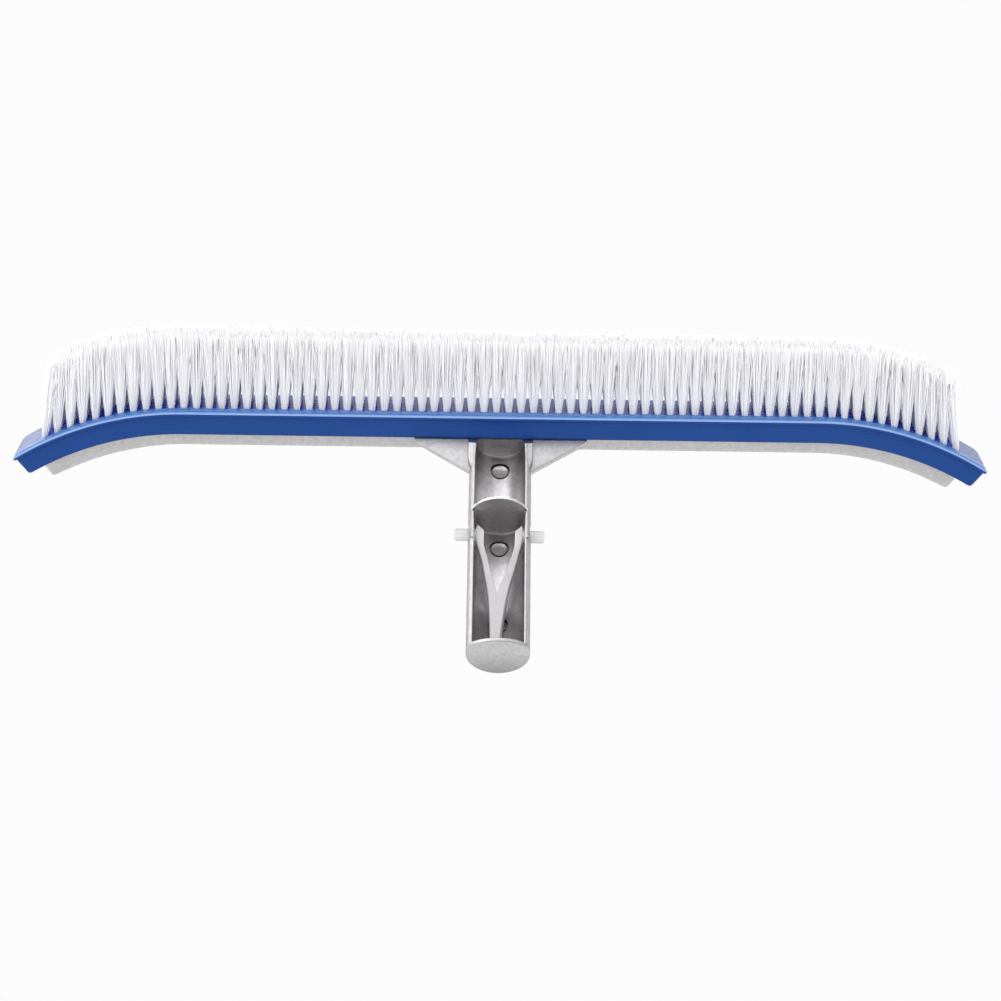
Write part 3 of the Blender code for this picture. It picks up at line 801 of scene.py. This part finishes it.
def blue_plastic():
    """Blue moulding, with painted light on its top: a lighter lip along the front with a painted
    highlight on its rim, painted reflection on the end tops, and a deep blue painted lighter over
    the field of holes.
    """
    mat = Nodes("blue_moulded_plastic", (0.0067, 0.053, 0.248), 0.26)
    x, y, z = mat.split(mat.place)
    past = mat.maths("SUBTRACT", mat.size_of(x), STRAIGHT_HALF)
    spoke = mat.add("ShaderNodeCombineXYZ")                         # from the bend's centre
    mat.link(mat.maths("MAXIMUM", past, 0.0), spoke.inputs["X"])
    mat.link(mat.maths("SUBTRACT", z, HEAD.z - BEND_RADIUS), spoke.inputs["Z"])
    length = mat.add("ShaderNodeVectorMath", operation="LENGTH")
    mat.link(spoke.outputs["Vector"], length.inputs[0])
    height = length.outputs["Value"]
    forward = mat.maths("SUBTRACT", HEAD.y, y)

    upper = mat.rising(height, TOP_RADIUS - 1.15 * MM, TOP_RADIUS - 0.9 * MM)
    # painted light: the top among the holes is painted a deeper, brighter blue for the light from above
    field = mat.product(upper, mat.rising(forward, -12.6 * MM, -11.6 * MM))
    # painted reflection: the end tops are painted greyer and lighter
    end = mat.product(upper, mat.rising(past, 66.0 * MM, 70.0 * MM))
    # painted light: the front lip's top is painted lighter than the walls
    lip = mat.product(upper, mat.rising(forward, 11.6 * MM, 12.6 * MM))
    # painted highlight along the lip's rounded front edge
    rim = mat.product(lip, mat.falling(height, TOP_RADIUS - 0.5 * MM, TOP_RADIUS - 0.2 * MM))

    cloud = mat.noise(mat.place, 24.0, 4.0)
    tone = mat.mixed(mat.ranged(cloud, 0.0, 1.0), (0.0075, 0.0465, 0.208), (0.0098, 0.053, 0.230))
    # the colours below paint light, reflection and a highlight on the top; the cloud tone varies at
    # random
    for mask, color in ((field, (0.006, 0.070, 0.56)), (end, (0.033, 0.090, 0.30)),
                        (lip, (0.058, 0.190, 0.50)), (rim, (0.26, 0.38, 0.66))):
        tone = mat.mixed(mask, tone, color)
    mat.link(tone, mat.shader.inputs["Base Color"])
    streak = mat.noise(mat.stretched((6.0, 160.0, 160.0)), 5.0, 4.0)
    mat.link(mat.ranged(streak, 0.20, 0.32), mat.shader.inputs["Roughness"])
    fine = mat.bump(mat.noise(mat.place, 1900.0, 2.0), 0.00002, 0.4)
    mat.link(mat.bump(streak, 0.00003, 0.4, fine), mat.shader.inputs["Normal"])
    mat.set("Specular IOR Level", 0.16)
    return mat.material


def nylon(name, color):
    """Milky filament that passes light on."""
    mat = Nodes(name, color, 0.42)
    mat.set("Subsurface Weight", 1.0)
    mat.set("Subsurface Radius", (1.0, 1.0, 1.0))
    mat.set("Subsurface Scale", 1.2 * MM)
    mat.set("Specular IOR Level", 0.3)
    return mat.material


def casting_masks(mat):
    """Where the casting is trough inside, ground top, cross wall, rim, mark or groove, by place, with
    the painted shade of the cross walls' faces, of the grooves and low on the end face, and the
    painted highlight on the middle wall's rim.
    """
    across, along, out = mat.split(mat.along_handle())

    def distance(y, z):
        """From the axis, or from a place on it, leaving out the directions given as None."""
        flat = mat.add("ShaderNodeCombineXYZ")
        mat.link(across, flat.inputs["X"])
        for value, source, axis in ((y, along, "Y"), (z, out, "Z")):
            if value is not None:
                mat.link(source, flat.inputs[axis])
        far = mat.add("ShaderNodeVectorMath", operation="DISTANCE")
        mat.link(flat.outputs["Vector"], far.inputs[0])
        far.inputs[1].default_value = (0.0, y or 0.0, z or 0.0)
        return far.outputs["Value"]

    inside = mat.product(mat.falling(distance(None, 0.0),
                                     TROUGH_RADIUS + 1.2 * MM, TROUGH_RADIUS + 1.6 * MM),
                         mat.falling(out, WALL_TOP - 0.6 * MM, WALL_TOP - 0.3 * MM),
                         mat.rising(along, 1.0 * MM, 1.2 * MM))
    ground = mat.product(mat.rising(out, WALL_TOP - 0.5 * MM, WALL_TOP - 0.1 * MM),
                         mat.window(along, 2.2 * MM, 2.4 * MM, 92.0 * MM, 106.0 * MM),
                         mat.rising(mat.size_of(across),
                                    TROUGH_RADIUS - 0.6 * MM, TROUGH_RADIUS - 0.2 * MM))
    # painted shade: the cross walls' faces are painted darker, the middle one most at its foot
    mid_face_shade = mat.product(mat.window(along, MID_WALL_LOW - 0.2 * MM, MID_WALL_LOW,
                                      MID_WALL_LOW + 0.1 * MM, MID_WALL_LOW + 0.3 * MM),
                           mat.ranged(out, 1.0, 0.2, -10.0 * MM, 9.0 * MM))
    head_face_shade = mat.rising(along, TROUGH_HEAD - 0.35 * MM, TROUGH_HEAD - 0.05 * MM)
    # painted highlight along the middle wall's rim
    mid_rim_highlight = mat.product(mat.rising(distance(None, MID_WALL_CENTRE),
                                     MID_WALL_RADIUS - 0.35 * MM, MID_WALL_RADIUS - 0.15 * MM),
                          mat.rising(out, WALL_TOP - 0.2 * MM, WALL_TOP + 0.3 * MM),
                          mat.window(along, MID_WALL_LOW - 0.4 * MM, MID_WALL_LOW - 0.2 * MM,
                                     MID_WALL_HIGH + 0.2 * MM, MID_WALL_HIGH + 0.4 * MM))
    marks = [distance(up, None) for up in EJECTOR_UP]
    nearest = mat.maths("MINIMUM", mat.maths("MINIMUM", marks[0], marks[1]), marks[2])
    return {"inside": inside, "ground": ground, "mid_rim_highlight": mid_rim_highlight,
            "face": mat.product(inside, mat.maths("MAXIMUM", mid_face_shade, head_face_shade)),
            "disc": mat.product(inside, mat.falling(nearest, 3.5 * MM, 3.8 * MM)),
            # painted shade in the grooves round the ejector marks
            "groove": mat.product(inside, mat.window(nearest, 3.6 * MM, 3.85 * MM, 4.4 * MM, 4.65 * MM)),
            # painted shade: the end face is painted darker towards its bottom
            "painted_end_shade": mat.product(mat.falling(along, 0.3 * MM, 0.5 * MM),
                                     mat.falling(out, -14.5 * MM, 1.0 * MM))}


def cast_aluminium():
    """Dull cast metal: painted lighter inside the trough, smooth where the wall tops have been
    ground, with painted shade in the grooves round the ejector marks, on the cross walls' faces
    and low on the end face, and a painted highlight on the middle wall's rim."""
    mat = Nodes("cast_aluminium", (0.56, 0.56, 0.555), 0.42, 1.0)
    masks = casting_masks(mat)
    cloud = mat.noise(mat.place, 60.0, 5.0, 0.6)
    streak = mat.noise(mat.along_handle((520.0, 22.0, 520.0)), 1.0, 4.0, 0.6)
    grains = mat.noise(mat.place, 520.0, 4.0, 0.6)
    tint = mat.noise(mat.along_handle((70.0, 14.0, 70.0)), 1.0, 2.0)
    # painted sheen: the trough's inside is painted lighter than the outside, with a tint varying at
    # random
    tint_and_painted_sheen = mat.mixed(mat.ranged(tint, 0.0, 1.0), (1.0, 0.955, 0.92), (0.95, 0.94, 0.97))
    tone = mat.mixed(mat.ranged(cloud, 0.0, 1.0), (0.67, 0.66, 0.66), (0.75, 0.74, 0.74))
    for mask, color in ((masks["inside"], tint_and_painted_sheen),
                        (masks["ground"], (0.66, 0.66, 0.66)),
                        (mat.ranged(streak, 0.0, 0.26), (0.30, 0.29, 0.30)),
                        (mat.ranged(grains, 0.0, 0.22), (0.24, 0.23, 0.24)),
                        # painted shade low on the end face
                        (mat.product(masks["painted_end_shade"], 0.55), (0.22, 0.22, 0.22)),
                        (mat.product(masks["disc"], 0.75), (1.0, 0.98, 1.0)),
                        # painted shade on the cross walls' faces
                        (mat.product(masks["face"], 0.6), (0.42, 0.40, 0.41)),
                        # painted highlight on the middle wall's rim
                        (masks["mid_rim_highlight"], (0.98, 0.98, 0.99)),
                        # painted shade in the ejector grooves
                        (masks["groove"], (0.04, 0.04, 0.04))):
        tone = mat.mixed(mask, tone, color)
    mat.link(tone, mat.shader.inputs["Base Color"])
    rough = mat.blended(masks["inside"], mat.ranged(cloud, 0.36, 0.50), 0.34)
    mat.link(mat.blended(masks["ground"], rough, 0.28), mat.shader.inputs["Roughness"])
    grain = mat.bump(mat.noise(mat.place, 1500.0, 3.0), 0.00008, 0.5)
    pits = mat.bump(grains, 0.00025, 0.45, grain)
    mat.link(mat.bump(streak, 0.0001, 0.6, pits), mat.shader.inputs["Normal"])
    mat.set("Specular Tint", (0.6, 0.6, 0.6, 1.0))
    return mat.material


def clip_plastic():
    """White satin plastic, painted lighter at the arms' tips and on the buttons, which get more light
    than the stem.
    """
    mat = Nodes("white_clip_plastic", (0.57, 0.56, 0.57), 0.40)
    across, along, _ = mat.split(mat.along_handle())
    cloud = mat.noise(mat.place, 90.0, 4.0)
    tone = mat.mixed(mat.ranged(cloud, 0.0, 1.0), (0.50, 0.49, 0.505), (0.55, 0.54, 0.555))
    # painted light: the arms' tips and the buttons are painted lighter than the stem shaded in the
    # trough
    tone = mat.mixed(mat.rising(along, 54.0 * MM, 64.0 * MM), tone, (0.68, 0.67, 0.675))
    tone = mat.mixed(mat.rising(mat.size_of(across), 12.5 * MM, 13.5 * MM), tone, (0.635, 0.635, 0.635))
    mat.link(tone, mat.shader.inputs["Base Color"])
    mat.link(mat.ranged(cloud, 0.34, 0.48), mat.shader.inputs["Roughness"])
    mat.link(mat.bump(mat.noise(mat.place, 700.0, 3.0), 0.00005, 0.5), mat.shader.inputs["Normal"])
    return mat.material


def screw_steel():
    """Plated steel, a little cloudy."""
    mat = Nodes("plated_screw_steel", (0.60, 0.61, 0.63), 0.28, 1.0)
    cloud = mat.noise(mat.place, 700.0, 3.0)
    tone = mat.mixed(mat.ranged(cloud, 0.0, 1.0), (0.54, 0.55, 0.57), (0.66, 0.665, 0.68))
    mat.link(tone, mat.shader.inputs["Base Color"])
    mat.link(mat.ranged(cloud, 0.22, 0.36), mat.shader.inputs["Roughness"])
    mat.link(mat.bump(mat.noise(mat.place, 2500.0, 2.0), 0.00002, 0.5), mat.shader.inputs["Normal"])
    return mat.material


# ---- studio ----
def make_floor():
    """A pale plane just under the object."""
    low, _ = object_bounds()
    half_size, glow = 30.0, 0.962       # its glow keeps it as pale as the backdrop
    mesh = bpy.data.meshes.new("studio_floor")
    form = bmesh.new()
    bmesh.ops.create_grid(form, x_segments=1, y_segments=1, size=half_size,
                          matrix=Matrix.Translation((0, 0, low.z - 1.0 * MM)))
    form.to_mesh(mesh)
    form.free()
    floor = bpy.data.objects.new("studio_floor", mesh)
    bpy.context.scene.collection.objects.link(floor)
    mat = Nodes("studio_floor", (0.012, 0.012, 0.012), 0.9)
    mat.set("Specular IOR Level", 0.0)
    mat.set("Emission Color", (1.0, 1.0, 1.0, 1.0))
    mat.set("Emission Strength", glow)
    mesh.materials.append(mat.material)


# brightness of the studio, as (direction along one axis from -1 to 1, level)
GLOSS_BY_HEIGHT = [(-1.0, 0.9), (0.0, 1.0), (0.12, 0.9), (0.26, 0.35), (0.65, 0.90), (0.96, 1.6)]
GLOSS_BY_DEPTH = [(-1.0, 0.03), (-0.8, 0.12), (-0.4, 0.70), (0.45, 1.0), (1.0, 1.5)]
GLOSS_BY_SIDE = [(-0.9, 2.0), (-0.5, 1.6), (0.0, 1.0), (0.5, 0.85), (0.9, 0.85)]
SOFT_BY_HEIGHT = [(-1.0, 1.0), (0.0, 2.15), (0.45, 1.50), (1.0, 0.55)]
BACKDROP = 0.974                    # where the camera looks past the object


def world_ramp(tree, socket, stops):
    """Brightness along one direction of the world, from these stops."""
    node = tree.nodes.new("ShaderNodeValToRGB")
    shift = tree.nodes.new("ShaderNodeMapRange")
    shift.inputs["From Min"].default_value = -1.0
    tree.links.new(socket, shift.inputs["Value"])
    tree.links.new(shift.outputs["Result"], node.inputs["Fac"])
    node.color_ramp.interpolation = "EASE"
    while len(node.color_ramp.elements) < len(stops):
        node.color_ramp.elements.new(0.5)
    for element, (place, level) in zip(node.color_ramp.elements, stops):
        element.position = (place + 1) / 2
        element.color = (level, level, level, 1.0)
    return node.outputs["Color"]


def world_mix(tree, factor, first, second, blend="MIX"):
    """A mix of two colours, each a node's output, or for the second a plain level."""
    node = tree.nodes.new("ShaderNodeMix")
    node.data_type = "RGBA"
    node.blend_type = blend
    if isinstance(factor, bpy.types.NodeSocket):
        tree.links.new(factor, node.inputs["Factor"])
    else:
        node.inputs["Factor"].default_value = factor
    tree.links.new(first, node.inputs["A"])
    if isinstance(second, bpy.types.NodeSocket):
        tree.links.new(second, node.inputs["B"])
    else:
        node.inputs["B"].default_value = (second, second, second, 1.0)
    return node.outputs["Result"]


def make_world():
    """A pale studio: reflections see it bright above and behind and dull in front, and
    matt surfaces see it brightest round the horizon."""
    world = bpy.data.worlds.new("studio")
    bpy.context.scene.world = world
    world.use_nodes = True
    tree = world.node_tree
    where = tree.nodes.new("ShaderNodeTexCoord")
    split = tree.nodes.new("ShaderNodeSeparateXYZ")
    tree.links.new(where.outputs["Generated"], split.inputs["Vector"])
    gloss = world_ramp(tree, split.outputs["Z"], GLOSS_BY_HEIGHT)
    for axis, stops in (("Y", GLOSS_BY_DEPTH), ("X", GLOSS_BY_SIDE)):
        gloss = world_mix(tree, 1.0, gloss, world_ramp(tree, split.outputs[axis], stops), "MULTIPLY")
    path = tree.nodes.new("ShaderNodeLightPath")
    color = world_ramp(tree, split.outputs["Z"], SOFT_BY_HEIGHT)
    color = world_mix(tree, path.outputs["Is Glossy Ray"], color, gloss)
    color = world_mix(tree, path.outputs["Is Camera Ray"], color, BACKDROP)
    background = tree.nodes["Background"]
    tree.links.new(color, background.inputs["Color"])
    background.inputs["Strength"].default_value = 1.0
    world.cycles.sampling_method = "NONE"


def soft_light(name, place, target, size, watts):
    """An area light that shades the object but stays out of its reflections."""
    lamp = bpy.data.lights.new(name, "AREA")
    lamp.shape = "RECTANGLE"
    lamp.size, lamp.size_y = size
    lamp.energy = watts
    light = bpy.data.objects.new(name, lamp)
    bpy.context.scene.collection.objects.link(light)
    light.location = place
    light.rotation_euler = (Vector(target) - Vector(place)).to_track_quat("-Z", "Y").to_euler()
    light.visible_glossy = False
    light.visible_camera = False


def make_camera():
    """Straight on, from a little above, with a slight roll."""
    pitch, yaw, roll = (math.radians(a) for a in (15.10, 0.097, 0.823))
    distance = 1724.1 * MM
    target = HEAD + Vector((0.41 * MM, 0.0, -34.7 * MM))
    ahead = Vector((math.sin(yaw) * math.cos(pitch), math.cos(yaw) * math.cos(pitch),
                    -math.sin(pitch)))
    level = Vector((math.cos(yaw), -math.sin(yaw), 0.0))
    upright = level.cross(ahead)
    right = level * math.cos(roll) + upright * math.sin(roll)
    up = upright * math.cos(roll) - level * math.sin(roll)
    data = bpy.data.cameras.new("camera")
    data.sensor_width = 36.0
    data.lens = 130.08
    data.clip_end = 100.0
    camera = bpy.data.objects.new("camera", data)
    bpy.context.scene.collection.objects.link(camera)
    camera.matrix_world = Matrix.Translation(target - ahead * distance) @ Matrix(
        ((right.x, up.x, -ahead.x), (right.y, up.y, -ahead.y), (right.z, up.z, -ahead.z))).to_4x4()
    bpy.context.scene.camera = camera


# ---- put together ----
def paint(piece, material):
    """The piece's only material, in its one material slot."""
    piece.data.materials.clear()
    piece.data.materials.append(material)


def add_to_head(piece, material, node):
    """A piece that stays with the head, in place of its node in the frame."""
    paint(piece, material)
    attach(piece, "brush")
    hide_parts(node)


def add_head():
    """The block, the filaments and the casting."""
    white = nylon("white_nylon", (0.990, 0.987, 0.999))
    add_to_head(make_block(), blue_plastic(), "brush_block")
    for row in range(ROWS):
        add_to_head(filament_row(row), white, "bristle_row_%d" % (row + 1))
    add_to_head(make_casting(), cast_aluminium(), "back_casting")


def add_clip():
    """The clip's two halves."""
    white = clip_plastic()
    for name, side in (("left", -1), ("right", 1)):
        half = make_clip_half("clip_%s" % name, side)
        paint(half, white)
        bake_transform(half)
        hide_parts("clip_arm_" + name, "clip_stem")


def add_screws():
    """The screws that hold the bar to the block."""
    steel = screw_steel()
    for number in range(1, SCREWS + 1):
        add_to_head(make_screw(number), steel, "screw_%d" % number)


def build():
    scene = bpy.context.scene
    scene.view_settings.view_transform = "Standard"
    scene.cycles.max_bounces = 40               # light goes deep into the tufts
    scene.cycles.diffuse_bounces = 32
    make_camera()
    add_head()
    add_clip()
    add_screws()
    make_world()
    middle = HEAD + Vector((0, -0.03, 0))
    soft_light("key_left", HEAD + Vector((-1.5, -1.4, 0.8)), middle, (1.0, 1.0), 7)
    make_floor()


build()
